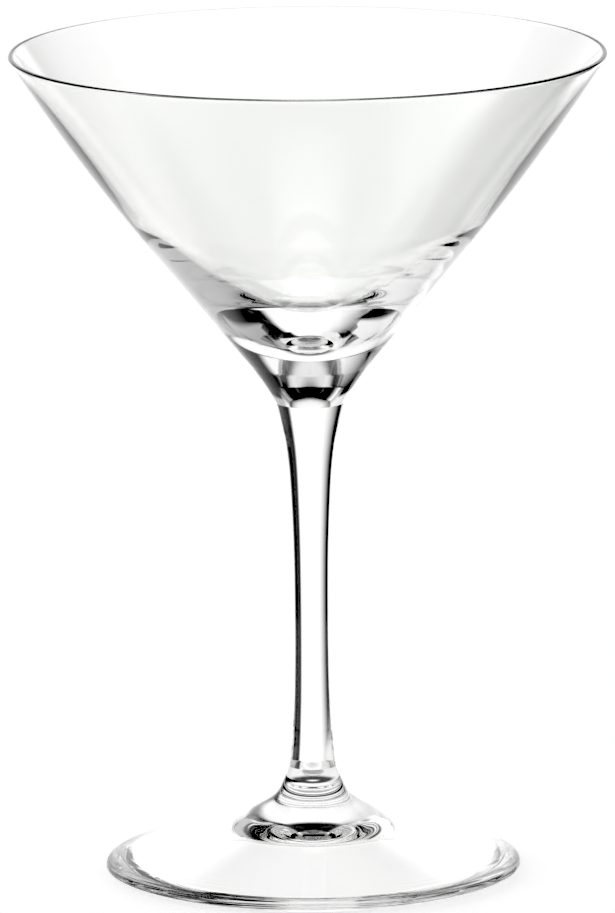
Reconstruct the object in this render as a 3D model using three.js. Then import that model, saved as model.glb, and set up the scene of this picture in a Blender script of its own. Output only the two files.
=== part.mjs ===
// A stemmed martini glass, in millimetres, +Z up, with its origin at the centre of the face it stands on.
// The glass is made hot from three gathers: a blown conical bowl with a thick solid base, a drawn solid
// stem, and a spun foot with a raised middle. Each gather is one solid, turned about the glass's axis.

import * as THREE from "three";

// Overall sizes
const HEIGHT = 168;
const RIM_RADIUS = 60;
const FOOT_RADIUS = 42;

// Where the gathers are fused together
const JOINT_GAP = 0.3;
const STEM_TOP = { radius: 6.8, height: 96.6 };
const STEM_BOTTOM = { radius: 4.85, height: 21.8 };

// Bowl outside: a neck that opens into a straight cone, which bulges gently up to the rim.
// A slope is the radius gained per unit of height.
const NECK = { radius: 8.8, height: 100 };
const CONE_START = { radius: 11.6, height: 104 };
const CONE_SLOPE = 0.82;
const BULGE_HEIGHT = 130;
const RIM_SLOPE = 0.64;
const LIP_THICKNESS = 1;

// Bowl inside: the wall, measured level, thickens from the lip down to the well, which is one deep curve to
// a flat middle
const WALL_THICKNESS = 2.3;
const WELL_HEIGHT = 136;
const WELL_SIDE = 4;
const WELL_FLOOR = 12;
const CAVITY_BOTTOM = 110;

// Stem: what its side passes through, below, at and above the waist
const STEM_FOOTING = { radius: 4.05, height: 28 };
const BELOW_WAIST = { radius: 3.55, height: 38 };
const STEM_WAIST = { radius: 3.4, height: 52 };
const ABOVE_WAIST = { radius: 3.55, height: 67 };
const STEM_SWELL = { radius: 4.1, height: 80 };
const STEM_SHOULDER = { radius: 4.75, height: 87 };
const STEM_NECK = { radius: 5.7, height: 92 };

// Foot outside: a low cone that flares up to meet the stem, with a rounded edge
const EDGE_THICKNESS = 2.9;
const EDGE_ROUNDING = 1.2;
const EDGE_TURN = 72;
const FOOT_CONE = { radius: 30, height: 6.2 };
const FLARE_START = { radius: 17, height: 10.5 };
const FLARE_MIDDLE = { radius: 11, height: 13.4 };
const FLARE_TOP = { radius: 7.1, height: 16.4 };

// Foot underside: a bevel below the edge, the ring it stands on, and a hollow with a raised middle.
// A share is how far a curve's handle reaches towards its corner.
const BEVEL_HEIGHT = 1.6;
const BEVEL_SHARE = 0.2;
const REST_RING_OUTER = 37;
const REST_RING_INNER = 35.5;
const HOLLOW_SHOULDER = { radius: 17, height: 6.2 };
const HOLLOW_HEIGHT = 8;
const HOLLOW_SHARE = 0.6;

// Facets round the axis, and steps along each curve
const WIDE_SEGMENTS = 64;
const STEM_SEGMENTS = 32;
const NECK_STEPS = 5;
const WALL_STEPS = 8;
const LIP_STEPS = 6;
const WELL_STEPS = 14;
const STEM_STEPS = 18;
const HOLLOW_STEPS = 7;
const BEVEL_STEPS = 3;
const EDGE_STEPS = 3;
const FOOT_STEPS = 16;

const point = (radius, height) => new THREE.Vector2(radius, height);

// The point where a line through a, of the given radius per height, meets a line through b.
function tangentCorner(a, slopeA, b, slopeB) {
  const height = (b.x - a.x + slopeA * a.y - slopeB * b.y) / (slopeA - slopeB);
  return point(a.x + slopeA * (height - a.y), height);
}

// A curve from a to b that leaves and arrives with the given radius per height.
function bulge(a, slopeA, b, slopeB, steps) {
  const corner = tangentCorner(a, slopeA, b, slopeB);
  return new THREE.QuadraticBezierCurve(a, corner, b).getPoints(steps);
}

// An arc about a centre, from one angle to another, in degrees from the outward direction.
function arc(centre, radius, from, to, steps) {
  return Array.from({ length: steps + 1 }, (_, i) => {
    const angle = THREE.MathUtils.degToRad(from + ((to - from) * i) / steps);
    return point(
      centre.x + radius * Math.cos(angle),
      centre.y + radius * Math.sin(angle),
    );
  });
}

// A curve from a to b whose handles reach a share of the way towards a corner.
function rounded(a, corner, b, share, steps) {
  return new THREE.CubicBezierCurve(
    a,
    a.clone().lerp(corner, share),
    b.clone().lerp(corner, share),
    b,
  ).getPoints(steps);
}

const at = ({ radius, height }) => point(radius, height);

const smooth = (points, steps) => new THREE.SplineCurve(points).getPoints(steps);

function bowlProfile() {
  const jointFace = STEM_TOP.height + JOINT_GAP / 2;
  const coneStart = at(CONE_START);
  const bulgeStart = point(
    CONE_START.radius + CONE_SLOPE * (BULGE_HEIGHT - CONE_START.height),
    BULGE_HEIGHT,
  );
  const neck = smooth(
    [point(STEM_TOP.radius, jointFace), at(NECK), coneStart],
    NECK_STEPS,
  );
  const lipRadius = LIP_THICKNESS / 2;
  const lipCentre = point(RIM_RADIUS - lipRadius, HEIGHT - lipRadius);
  const rim = point(RIM_RADIUS, lipCentre.y);
  const outside = bulge(bulgeStart, CONE_SLOPE, rim, RIM_SLOPE, WALL_STEPS);
  const lip = arc(lipCentre, lipRadius, 0, 180, LIP_STEPS);

  const outerWall = new THREE.QuadraticBezierCurve(
    bulgeStart,
    tangentCorner(bulgeStart, CONE_SLOPE, rim, RIM_SLOPE),
    rim,
  );
  const rise = (WELL_HEIGHT - BULGE_HEIGHT) / (rim.y - BULGE_HEIGHT);
  const wellEdge = outerWall.getPoint(rise).sub(point(WALL_THICKNESS, 0));
  const inside = bulge(
    lip[lip.length - 1],
    RIM_SLOPE,
    wellEdge,
    CONE_SLOPE,
    WALL_STEPS,
  );
  const well = new THREE.CubicBezierCurve(
    wellEdge,
    point(wellEdge.x - CONE_SLOPE * WELL_SIDE, wellEdge.y - WELL_SIDE),
    point(WELL_FLOOR, CAVITY_BOTTOM),
    point(0, CAVITY_BOTTOM),
  ).getPoints(WELL_STEPS);
  return [
    point(0, jointFace),
    ...neck,
    ...outside,
    ...lip.slice(1),
    ...inside.slice(1),
    ...well.slice(1),
  ];
}

function stemProfile() {
  const lowFace = STEM_BOTTOM.height + JOINT_GAP / 2;
  const highFace = STEM_TOP.height - JOINT_GAP / 2;
  const side = smooth(
    [
      point(STEM_BOTTOM.radius, lowFace),
      at(STEM_FOOTING),
      at(BELOW_WAIST),
      at(STEM_WAIST),
      at(ABOVE_WAIST),
      at(STEM_SWELL),
      at(STEM_SHOULDER),
      at(STEM_NECK),
      point(STEM_TOP.radius, highFace),
    ],
    STEM_STEPS,
  );
  return [point(0, lowFace), ...side, point(0, highFace)];
}

function footProfile() {
  const jointFace = STEM_BOTTOM.height - JOINT_GAP / 2;
  const middle = point(0, HOLLOW_HEIGHT);
  const shoulder = at(HOLLOW_SHOULDER);
  const ring = point(REST_RING_INNER, 0);
  const hollowSlope = (ring.x - shoulder.x) / (ring.y - shoulder.y);
  const hollowCorner = point(
    shoulder.x + hollowSlope * (HOLLOW_HEIGHT - shoulder.y),
    HOLLOW_HEIGHT,
  );
  const hollow = rounded(
    middle,
    hollowCorner,
    shoulder,
    HOLLOW_SHARE,
    HOLLOW_STEPS,
  );
  const bevel = rounded(
    point(REST_RING_OUTER, 0),
    point(FOOT_RADIUS, 0),
    point(FOOT_RADIUS, BEVEL_HEIGHT),
    BEVEL_SHARE,
    BEVEL_STEPS,
  );
  const edge = arc(
    point(FOOT_RADIUS - EDGE_ROUNDING, EDGE_THICKNESS - EDGE_ROUNDING),
    EDGE_ROUNDING,
    0,
    EDGE_TURN,
    EDGE_STEPS,
  );
  const top = smooth(
    [
      edge[edge.length - 1],
      at(FOOT_CONE),
      at(FLARE_START),
      at(FLARE_MIDDLE),
      at(FLARE_TOP),
      point(STEM_BOTTOM.radius, jointFace),
    ],
    FOOT_STEPS,
  );
  return [
    ...hollow,
    ring,
    ...bevel,
    ...edge,
    ...top.slice(1),
    point(0, jointFace),
  ];
}

function glass() {
  return new THREE.MeshStandardMaterial({
    color: 0xf4f8f6,
    roughness: 0.02,
    metalness: 0,
    transparent: true,
    opacity: 0.35,
  });
}

// A solid turned about the glass's axis from its half outline.
function turned(name, profile, segments) {
  const geometry = new THREE.LatheGeometry(profile, segments);
  geometry.rotateX(Math.PI / 2);
  const mesh = new THREE.Mesh(geometry, glass());
  mesh.name = name;
  return mesh;
}

const martiniGlass = new THREE.Group();
martiniGlass.add(
  turned("bowl", bowlProfile(), WIDE_SEGMENTS),
  turned("stem", stemProfile(), STEM_SEGMENTS),
  turned("foot", footProfile(), WIDE_SEGMENTS),
);

export default martiniGlass;
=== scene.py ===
import math

import bpy
from mathutils import Matrix, Vector


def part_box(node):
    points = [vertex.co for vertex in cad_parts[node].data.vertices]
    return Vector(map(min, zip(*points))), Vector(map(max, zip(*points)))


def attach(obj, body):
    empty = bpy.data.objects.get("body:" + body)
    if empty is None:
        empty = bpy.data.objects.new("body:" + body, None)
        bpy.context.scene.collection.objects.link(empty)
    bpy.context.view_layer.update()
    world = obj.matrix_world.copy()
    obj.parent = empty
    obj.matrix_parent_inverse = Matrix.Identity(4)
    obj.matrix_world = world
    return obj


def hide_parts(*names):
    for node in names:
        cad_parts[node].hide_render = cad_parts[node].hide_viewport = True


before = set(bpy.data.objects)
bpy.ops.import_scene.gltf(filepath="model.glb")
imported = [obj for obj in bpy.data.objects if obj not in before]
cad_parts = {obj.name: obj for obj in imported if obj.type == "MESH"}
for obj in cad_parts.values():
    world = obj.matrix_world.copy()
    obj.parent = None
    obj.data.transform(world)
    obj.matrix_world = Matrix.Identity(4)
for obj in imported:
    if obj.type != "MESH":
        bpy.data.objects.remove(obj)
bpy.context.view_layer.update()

# ---------------------------------------------------------------- measures, in metres

MM = 0.001

BOWL_LOW, BOWL_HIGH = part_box("bowl")
STEM_LOW, STEM_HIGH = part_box("stem")
FOOT_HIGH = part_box("foot")[1]

HEIGHT = BOWL_HIGH.z
RIM_RADIUS = BOWL_HIGH.x
FOOT_RADIUS = FOOT_HIGH.x

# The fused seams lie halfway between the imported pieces' faces.
UPPER_SEAM = (BOWL_LOW.z + STEM_HIGH.z) / 2
LOWER_SEAM = (STEM_LOW.z + FOOT_HIGH.z) / 2
UPPER_SEAM_RADIUS = STEM_HIGH.x
LOWER_SEAM_RADIUS = 4.75 * MM

# Bowl. A slope is the radius gained per unit of height.
LIP_THICKNESS = 1.0 * MM
NECK = (8.8 * MM, 100 * MM)
CONE_START = (11.6 * MM, 104 * MM)
CONE_SLOPE = 0.82
BULGE_HEIGHT = 130 * MM
RIM_SLOPE = 0.64
WALL_THICKNESS = 2.3 * MM
CAVITY_BOTTOM = 110 * MM
WELL_HEIGHT = 136 * MM
WELL_SIDE = 4 * MM
WELL_FLOOR = 12 * MM

# Stem: what its side passes through between the seams, from the foot up
STEM_SIDE = [
    (4.05 * MM, 28 * MM),
    (3.55 * MM, 38 * MM),
    (3.4 * MM, 52 * MM),
    (3.55 * MM, 67 * MM),
    (4.1 * MM, 80 * MM),
    (4.75 * MM, 87 * MM),
    (5.7 * MM, 92 * MM),
]

# Foot. A share is how far a curve's handle reaches towards its corner.
EDGE_THICKNESS = 2.9 * MM
EDGE_ROUNDING = 1.2 * MM
EDGE_TURN = 72
FOOT_CONE = (30 * MM, 6.2 * MM)
FLARE_START = (17 * MM, 10.5 * MM)
FLARE_MIDDLE = (11 * MM, 13.4 * MM)
FLARE_TOP = (7.1 * MM, 16.4 * MM)
BEVEL_HEIGHT = 1.6 * MM
BEVEL_SHARE = 0.2
REST_RING_OUTER = 37 * MM
REST_RING_INNER = 35.5 * MM
RIPPLE_HEIGHT = 0.012 * MM
RIPPLE_PITCHES = (0.9 * MM, 1.37 * MM)
RIPPLE_START = 34 * MM
HOLLOW_HEIGHT = 8 * MM
HOLLOW_SHOULDER = (17 * MM, 6.2 * MM)
HOLLOW_SHARE = 0.6

# Fineness of the turned meshes: facets round the axis, and steps along each curve
SEGMENTS = 288
NECK_STEPS = 24
WALL_STEPS = 60
LIP_STEPS = 14
WELL_STEPS = 150
STEM_STEPS = 200
HOLLOW_STEPS = 60
SHOULDER_STEPS = 30
BEVEL_STEPS = 30
EDGE_STEPS = 12
FOOT_STEPS = 320

# A radius below this is on the axis.
ON_AXIS = 1e-7

# ---------------------------------------------------------------- outlines (radius, height)


def bezier_point(points, t):
    """The point a share t of the way along a Bezier curve of any degree."""
    degree = len(points) - 1
    weights = [math.comb(degree, k) * t**k * (1 - t) ** (degree - k) for k in range(degree + 1)]
    return tuple(sum(w * p[axis] for w, p in zip(weights, points)) for axis in (0, 1))


def bezier(points, count):
    """count + 1 points along a Bezier curve."""
    return [bezier_point(points, i / count) for i in range(count + 1)]


def tangent_corner(a, slope_a, b, slope_b):
    """Where a line through a, of that radius per height, meets a line through b."""
    height = (b[0] - a[0] + slope_a * a[1] - slope_b * b[1]) / (slope_a - slope_b)
    return (a[0] + slope_a * (height - a[1]), height)


def bulge(a, slope_a, b, slope_b, count):
    return bezier([a, tangent_corner(a, slope_a, b, slope_b), b], count)


def between(a, b, share):
    return tuple((1 - share) * p + share * q for p, q in zip(a, b))


def arc(centre, radius, start, end, count):
    """An arc between two angles, in degrees up from the outward direction."""
    angles = [math.radians(start + (end - start) * i / count) for i in range(count + 1)]
    return [(centre[0] + radius * math.cos(a), centre[1] + radius * math.sin(a)) for a in angles]


def smooth_curve(points, count):
    """A curve through all the points: cubic spans with Catmull-Rom tangents."""
    padded = [points[0], *points, points[-1]]
    spans = len(points) - 1
    out = []
    for i in range(count + 1):
        position = i / count * spans
        span = min(int(position), spans - 1)
        t = position - span
        p0, p1, p2, p3 = padded[span:span + 4]
        out.append(tuple(
            0.5
            * (
                2 * b
                + (c - a) * t
                + (2 * a - 5 * b + 4 * c - d) * t**2
                + (3 * b - a - 3 * c + d) * t**3
            )
            for a, b, c, d in zip(p0, p1, p2, p3)
        ))
    return out


def bowl_outline():
    lip_radius = LIP_THICKNESS / 2
    rim = (RIM_RADIUS, HEIGHT - lip_radius)
    bulge_start = (CONE_START[0] + CONE_SLOPE * (BULGE_HEIGHT - CONE_START[1]), BULGE_HEIGHT)
    neck = smooth_curve([(UPPER_SEAM_RADIUS, UPPER_SEAM), NECK, CONE_START], NECK_STEPS)
    cone = bezier([CONE_START, bulge_start], WALL_STEPS)
    outer_wall = [bulge_start, tangent_corner(bulge_start, CONE_SLOPE, rim, RIM_SLOPE), rim]
    outside = bezier(outer_wall, WALL_STEPS)
    lip = arc((RIM_RADIUS - lip_radius, rim[1]), lip_radius, 0, 180, LIP_STEPS)
    rise = (WELL_HEIGHT - BULGE_HEIGHT) / (rim[1] - BULGE_HEIGHT)
    outer_there = bezier_point(outer_wall, rise)
    well_edge = (outer_there[0] - WALL_THICKNESS, outer_there[1])
    inside = bulge(lip[-1], RIM_SLOPE, well_edge, CONE_SLOPE, WALL_STEPS)
    well_handle = (well_edge[0] - CONE_SLOPE * WELL_SIDE, well_edge[1] - WELL_SIDE)
    well = bezier([well_edge, well_handle, (WELL_FLOOR, CAVITY_BOTTOM), (0, CAVITY_BOTTOM)], WELL_STEPS)
    return [*neck, *cone[1:], *outside[1:], *lip[1:], *inside[1:], *well[1:]]


def stem_outline():
    ends = (LOWER_SEAM_RADIUS, LOWER_SEAM), (UPPER_SEAM_RADIUS, UPPER_SEAM)
    return smooth_curve([ends[0], *STEM_SIDE, ends[1]], STEM_STEPS)


def rounded(a, corner, b, share, count):
    """A curve from a to b whose handles reach a share of the way towards a corner."""
    return bezier([a, between(a, corner, share), between(b, corner, share), b], count)


def foot_outline():
    middle = (0, HOLLOW_HEIGHT)
    hollow_slope = (REST_RING_INNER - HOLLOW_SHOULDER[0]) / -HOLLOW_SHOULDER[1]
    corner_radius = HOLLOW_SHOULDER[0] + hollow_slope * (HOLLOW_HEIGHT - HOLLOW_SHOULDER[1])
    hollow_corner = (corner_radius, HOLLOW_HEIGHT)
    hollow = rounded(middle, hollow_corner, HOLLOW_SHOULDER, HOLLOW_SHARE, HOLLOW_STEPS)
    slope = bezier([HOLLOW_SHOULDER, (REST_RING_INNER, 0)], SHOULDER_STEPS)
    bevel_top = (FOOT_RADIUS, BEVEL_HEIGHT)
    bevel = rounded((REST_RING_OUTER, 0), (FOOT_RADIUS, 0), bevel_top, BEVEL_SHARE, BEVEL_STEPS)
    edge_centre = (FOOT_RADIUS - EDGE_ROUNDING, EDGE_THICKNESS - EDGE_ROUNDING)
    edge = arc(edge_centre, EDGE_ROUNDING, 0, EDGE_TURN, EDGE_STEPS)
    seam = (LOWER_SEAM_RADIUS, LOWER_SEAM)
    top = smooth_curve([edge[-1], FOOT_CONE, FLARE_START, FLARE_MIDDLE, FLARE_TOP, seam], FOOT_STEPS)
    return [*hollow, *slope[1:], *bevel, *edge, *(rippled(spot) for spot in top[1:])]


def rippled(spot):
    """The faint rings that spinning leaves on the outer foot."""
    radius, height = spot
    swell = min(max((radius - RIPPLE_START) / (FOOT_RADIUS - RIPPLE_START), 0), 1)
    waves = sum(math.sin(math.tau * radius / pitch) for pitch in RIPPLE_PITCHES)
    return (radius, height + RIPPLE_HEIGHT * swell * waves)


# ---------------------------------------------------------------- turned meshes


def turned(name, outline, seam_ends):
    """A closed solid turned about Z from its outline. Each end of the outline is on the axis, or is a
    seam: a flat disc where the glass runs on into the next piece, in the second material slot."""
    verts = []
    faces = []
    seam_faces = []
    rings = []
    for radius, height in outline:
        if radius < ON_AXIS:
            rings.append([len(verts)])
            verts.append((0, 0, height))
            continue
        rings.append(list(range(len(verts), len(verts) + SEGMENTS)))
        for i in range(SEGMENTS):
            turn = math.tau * i / SEGMENTS
            verts.append((radius * math.cos(turn), radius * math.sin(turn), height))
    for low, high in zip(rings, rings[1:]):
        for i in range(SEGMENTS):
            j = (i + 1) % SEGMENTS
            if len(low) == 1:
                faces.append((low[0], high[j], high[i]))
            elif len(high) == 1:
                faces.append((low[i], low[j], high[0]))
            else:
                faces.append((low[i], low[j], high[j], high[i]))
    for end in seam_ends:
        ring = rings[end]
        centre = len(verts)
        verts.append((0, 0, outline[end][1]))
        for i in range(SEGMENTS):
            j = (i + 1) % SEGMENTS
            seam_faces.append(len(faces))
            faces.append((centre, ring[j], ring[i]) if end == 0 else (centre, ring[i], ring[j]))
    mesh = bpy.data.meshes.new(name)
    mesh.from_pydata(verts, [], faces)
    mesh.update()
    mesh.shade_smooth()
    for index in seam_faces:
        mesh.polygons[index].material_index = 1
        mesh.polygons[index].use_smooth = False
    seam_rings = {v for end in seam_ends for v in rings[end]}
    for edge in mesh.edges:
        if edge.vertices[0] in seam_rings and edge.vertices[1] in seam_rings:
            edge.use_edge_sharp = True
    piece = bpy.data.objects.new(name, mesh)
    bpy.context.scene.collection.objects.link(piece)
    return piece


# ---------------------------------------------------------------- materials

GLASS_IOR = 1.52
CLEAREST_TINT = (0.992, 0.996, 0.99, 1)
DEEPEST_TINT = (0.978, 0.986, 0.974, 1)

# Relief heights are in metres, and noise scales are per metre.
FINE_RELIEF = 0.000002
WAVE_RELIEF = 0.00002
WAVE_SCALE = 60
CORD_STRETCH = (1, 1, 0.04)
CORD_SCALE = 900
BAND_STRETCH = (0.06, 0.06, 1)
BAND_SCALE = 350
RING_SCALE = 500
HAZE_SCALE = 90
HAZE_START = 0.56
HAZE_FULL = 0.8
HAZE_ROUGHNESS = 0.02

# How many finer layers each noise adds
FINE_DETAIL = 2
RING_DETAIL = 3
WAVE_DETAIL = 1
HAZE_DETAIL = 5


def link_maths(tree):
    """A helper that chains Math nodes in one tree."""

    def maths(operation, *inputs):
        node = tree.nodes.new("ShaderNodeMath")
        node.operation = operation
        for socket, value in zip(node.inputs, inputs):
            if isinstance(value, bpy.types.NodeSocket):
                tree.links.new(value, socket)
            else:
                socket.default_value = value
        return node.outputs[0]

    return maths


def noise(tree, place, scale, detail):
    node = tree.nodes.new("ShaderNodeTexNoise")
    node.inputs["Scale"].default_value = scale
    node.inputs["Detail"].default_value = detail
    tree.links.new(place, node.inputs["Vector"])
    return node.outputs["Fac"]


def stretched(tree, place, scale):
    node = tree.nodes.new("ShaderNodeMapping")
    node.inputs["Scale"].default_value = scale
    tree.links.new(place, node.inputs["Vector"])
    return node.outputs[0]


def axis_distance(tree, place):
    """The distance from the axis, spread along X, so a noise of it makes rings."""
    split = tree.nodes.new("ShaderNodeSeparateXYZ")
    tree.links.new(place, split.inputs[0])
    flat = tree.nodes.new("ShaderNodeCombineXYZ")
    tree.links.new(split.outputs["X"], flat.inputs["X"])
    tree.links.new(split.outputs["Y"], flat.inputs["Y"])
    distance = tree.nodes.new("ShaderNodeVectorMath")
    distance.operation = "LENGTH"
    tree.links.new(flat.outputs[0], distance.inputs[0])
    spread = tree.nodes.new("ShaderNodeCombineXYZ")
    tree.links.new(distance.outputs["Value"], spread.inputs["X"])
    return spread.outputs[0]


def glass(name, marks):
    """Clear soda-lime glass. Marks is how the piece was formed, which left level bands round a "blown"
    bowl, long cords down a "drawn" stem, or rings on a "spun" foot."""
    material = bpy.data.materials.new(name)
    material.use_nodes = True
    tree = material.node_tree
    maths = link_maths(tree)
    shader = tree.nodes["Principled BSDF"]
    shader.inputs["Transmission Weight"].default_value = 1
    shader.inputs["IOR"].default_value = GLASS_IOR
    place = tree.nodes.new("ShaderNodeTexCoord").outputs["Object"]

    if marks == "drawn":
        fine = noise(tree, stretched(tree, place, CORD_STRETCH), CORD_SCALE, FINE_DETAIL)
    elif marks == "blown":
        fine = noise(tree, stretched(tree, place, BAND_STRETCH), BAND_SCALE, FINE_DETAIL)
    else:
        fine = noise(tree, axis_distance(tree, place), RING_SCALE, RING_DETAIL)
    waves = noise(tree, place, WAVE_SCALE, WAVE_DETAIL)
    relief = maths("ADD", maths("MULTIPLY", fine, FINE_RELIEF), maths("MULTIPLY", waves, WAVE_RELIEF))
    bump = tree.nodes.new("ShaderNodeBump")
    bump.inputs["Strength"].default_value = 1
    bump.inputs["Distance"].default_value = 1
    tree.links.new(relief, bump.inputs["Height"])
    tree.links.new(bump.outputs[0], shader.inputs["Normal"])

    haze = tree.nodes.new("ShaderNodeMapRange")
    haze.interpolation_type = "SMOOTHSTEP"
    haze.inputs["From Min"].default_value = HAZE_START
    haze.inputs["From Max"].default_value = HAZE_FULL
    haze.inputs["To Max"].default_value = HAZE_ROUGHNESS
    tree.links.new(noise(tree, place, HAZE_SCALE, HAZE_DETAIL), haze.inputs["Value"])
    tree.links.new(haze.outputs[0], shader.inputs["Roughness"])

    tint = tree.nodes.new("ShaderNodeMix")
    tint.data_type = "RGBA"
    tint.inputs["A"].default_value = CLEAREST_TINT
    tint.inputs["B"].default_value = DEEPEST_TINT
    tree.links.new(waves, tint.inputs["Factor"])
    tree.links.new(tint.outputs["Result"], shader.inputs["Base Color"])
    return material


def seam_material():
    """Nothing is seen where two gathers are fused: light passes straight on."""
    material = bpy.data.materials.new("fused_seam")
    material.use_nodes = True
    tree = material.node_tree
    tree.nodes.remove(tree.nodes["Principled BSDF"])
    clear = tree.nodes.new("ShaderNodeBsdfTransparent")
    tree.links.new(clear.outputs[0], tree.nodes["Material Output"].inputs["Surface"])
    return material


# ---------------------------------------------------------------- the glass


def build_glass():
    seam = seam_material()
    for node, outline, seam_ends, marks in (
        ("bowl", bowl_outline(), (0,), "blown"),
        ("stem", stem_outline(), (0, -1), "drawn"),
        ("foot", foot_outline(), (-1,), "spun"),
    ):
        piece = turned(node + "_glass", outline, seam_ends)
        piece.data.materials.append(glass(node + "_clear", marks))
        piece.data.materials.append(seam)
        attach(piece, "root")
        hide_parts(node)


# ---------------------------------------------------------------- camera, light and floor

CAMERA_PLACE = Vector((-0.0006, -2.35, 0.5413))
CAMERA_AIM = Vector((-0.0006, 0, 0.08545))
CAMERA_LENS = 468.3
SENSOR_WIDTH = 36
CLIP_END = 50
CAMERA_ROLL = math.radians(-0.42)


def add_camera():
    data = bpy.data.cameras.new("camera")
    data.lens = CAMERA_LENS
    data.sensor_width = SENSOR_WIDTH
    data.clip_end = CLIP_END
    camera = bpy.data.objects.new("camera", data)
    bpy.context.scene.collection.objects.link(camera)
    look = (CAMERA_AIM - CAMERA_PLACE).to_track_quat("-Z", "Y").to_matrix().to_4x4()
    camera.matrix_world = Matrix.Translation(CAMERA_PLACE) @ look @ Matrix.Rotation(CAMERA_ROLL, 4, "Z")
    bpy.context.scene.camera = camera


TENT_RADIUS = 5.5
TENT_SEGMENTS = 64
TENT_RINGS = 32

# The tent's light by direction from its centre, in degrees. Bearings are from +Y, positive towards +X.
# Each pair runs from full light to none, or for the card and the shade from full darkening to none.
WHITE = 1.12
LIT_RIGHT = (25, 33)
LIT_LEFT = (-14, -54)
LIT_TOP = (30, 42)
LIT_FLOOR = (-24, -16)
FLOOR_WHITE = 0.97
CARD_NEAR = (32, 24)
CARD_FAR = (60, 70)
CARD_LOW = (-55, -70)
REAR_FLOOR = (-13.5, -10)
REAR_SIDES = (100, 80)
ROOM_LIGHT = 0.5
ROOM_SIDES = (82, 70)
ROOM_TOP = (48, 60)
WINDOW_LIGHT = 1.03
WINDOW_FRONT = (-74, -64)
WINDOW_BACK = (-118, -140)
OVERHEAD_LIGHT = 0.8
OVERHEAD_LOW = (64, 56)
OVERHEAD_HIGH = (70, 82)
OVERHEAD_SIDES = (50, 72)
SHADE = 0.9
SHADE_HIGH = (-62, -46)
SHADE_LOW = (-76, -86)


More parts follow.
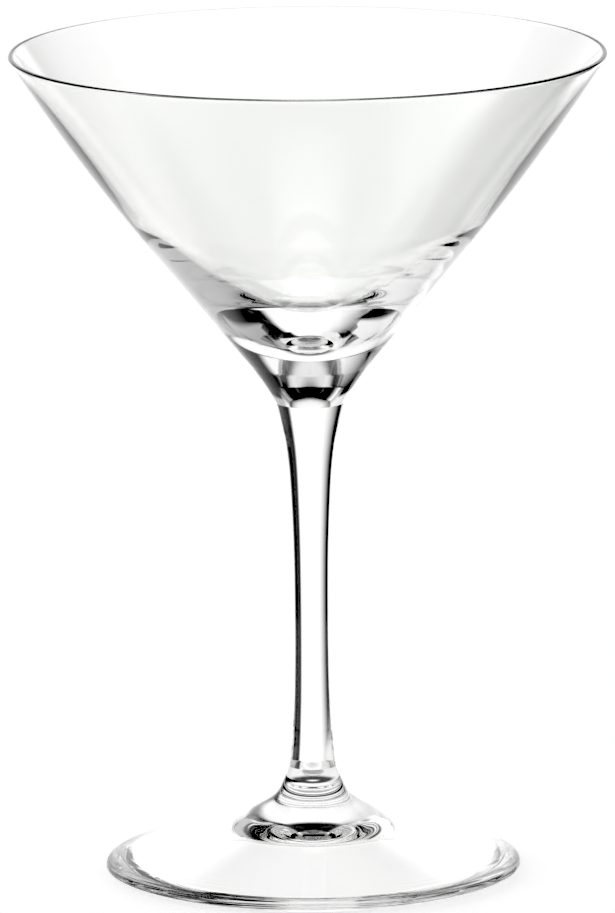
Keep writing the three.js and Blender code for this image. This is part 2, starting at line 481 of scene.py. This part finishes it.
def light_tent():
    """The soft studio light: a sphere round the glass with a white backdrop and floor, a black card,
    a grey room, a window, an overhead light and a shaded band low down."""
    bpy.ops.mesh.primitive_uv_sphere_add(
        segments=TENT_SEGMENTS,
        ring_count=TENT_RINGS,
        radius=TENT_RADIUS,
        location=(0, 0, HEIGHT / 2),
    )
    tent = bpy.context.object
    tent.name = "light_tent"
    material = bpy.data.materials.new("tent_light")
    material.use_nodes = True
    tree = material.node_tree
    tree.nodes.remove(tree.nodes["Principled BSDF"])
    maths = link_maths(tree)

    def fade(value, limits):
        node = tree.nodes.new("ShaderNodeMapRange")
        node.interpolation_type = "SMOOTHSTEP"
        full, none = (math.radians(limit) for limit in limits)
        node.inputs["From Min"].default_value = none
        node.inputs["From Max"].default_value = full
        tree.links.new(value, node.inputs["Value"])
        return node.outputs[0]

    place = tree.nodes.new("ShaderNodeTexCoord")
    direction = tree.nodes.new("ShaderNodeVectorMath")
    direction.operation = "NORMALIZE"
    tree.links.new(place.outputs["Object"], direction.inputs[0])
    split = tree.nodes.new("ShaderNodeSeparateXYZ")
    tree.links.new(direction.outputs[0], split.inputs[0])
    bearing = maths("ARCTAN2", split.outputs["X"], split.outputs["Y"])
    elevation = maths("ARCSINE", split.outputs["Z"])
    turn = maths("ABSOLUTE", bearing)

    def patch(light, *fades):
        out = light
        for value, limits in fades:
            out = maths("MULTIPLY", fade(value, limits), out)
        return out

    backdrop = patch(WHITE, (bearing, LIT_RIGHT), (bearing, LIT_LEFT), (elevation, LIT_TOP))
    rear_floor = patch(FLOOR_WHITE, (elevation, REAR_FLOOR), (turn, REAR_SIDES))
    floor = maths("MAXIMUM", patch(FLOOR_WHITE, (elevation, LIT_FLOOR)), rear_floor)
    room = patch(ROOM_LIGHT, (turn, ROOM_SIDES), (elevation, ROOM_TOP))
    window = patch(WINDOW_LIGHT, (bearing, WINDOW_FRONT), (bearing, WINDOW_BACK), (elevation, ROOM_TOP))
    overhead = patch(
        OVERHEAD_LIGHT,
        (elevation, OVERHEAD_LOW),
        (elevation, OVERHEAD_HIGH),
        (turn, OVERHEAD_SIDES),
    )
    card = patch(1, (bearing, CARD_NEAR), (bearing, CARD_FAR), (elevation, CARD_LOW))
    floor = maths("MULTIPLY", floor, maths("SUBTRACT", 1, card))
    lit = backdrop
    for light in (floor, room, window, overhead):
        lit = maths("MAXIMUM", lit, light)
    shade = patch(SHADE, (elevation, SHADE_HIGH), (elevation, SHADE_LOW))
    lit = maths("MULTIPLY", lit, maths("SUBTRACT", 1, shade))
    light = tree.nodes.new("ShaderNodeEmission")
    tree.links.new(lit, light.inputs["Strength"])
    tree.links.new(light.outputs[0], tree.nodes["Material Output"].inputs["Surface"])
    tent.data.materials.append(material)


FLOOR_RADIUS = 5.4
FLOOR_SEGMENTS = 96
FLOOR_PALE = 0.9
FLOOR_GLOW = 0.68


def add_floor():
    """A plain pale floor. Through the glass and in its gloss, the tent stands in for it."""
    bpy.ops.mesh.primitive_circle_add(vertices=FLOOR_SEGMENTS, radius=FLOOR_RADIUS, fill_type="NGON")
    floor = bpy.context.object
    floor.name = "floor"
    material = bpy.data.materials.new("floor_pale")
    material.use_nodes = True
    shader = material.node_tree.nodes["Principled BSDF"]
    shader.inputs["Base Color"].default_value = (FLOOR_PALE, FLOOR_PALE, FLOOR_PALE, 1)
    shader.inputs["Roughness"].default_value = 1
    shader.inputs["Specular IOR Level"].default_value = 0
    shader.inputs["Emission Color"].default_value = (1, 1, 1, 1)
    shader.inputs["Emission Strength"].default_value = FLOOR_GLOW
    floor.data.materials.append(material)
    floor.visible_transmission = False
    floor.visible_glossy = False


BLACK_LEVEL = 0.07
LIGHT_BOUNCES = 24


def set_look():
    """Deepens the blacks a little, and lets light through many glass surfaces."""
    scene = bpy.context.scene
    scene.view_settings.view_transform = "Standard"
    scene.view_settings.use_curve_mapping = True
    scene.view_settings.curve_mapping.black_level = (BLACK_LEVEL, BLACK_LEVEL, BLACK_LEVEL)
    scene.cycles.max_bounces = LIGHT_BOUNCES
    scene.cycles.transmission_bounces = LIGHT_BOUNCES
    scene.cycles.glossy_bounces = LIGHT_BOUNCES
    scene.cycles.transparent_max_bounces = LIGHT_BOUNCES


build_glass()
add_camera()
light_tent()
add_floor()
set_look()
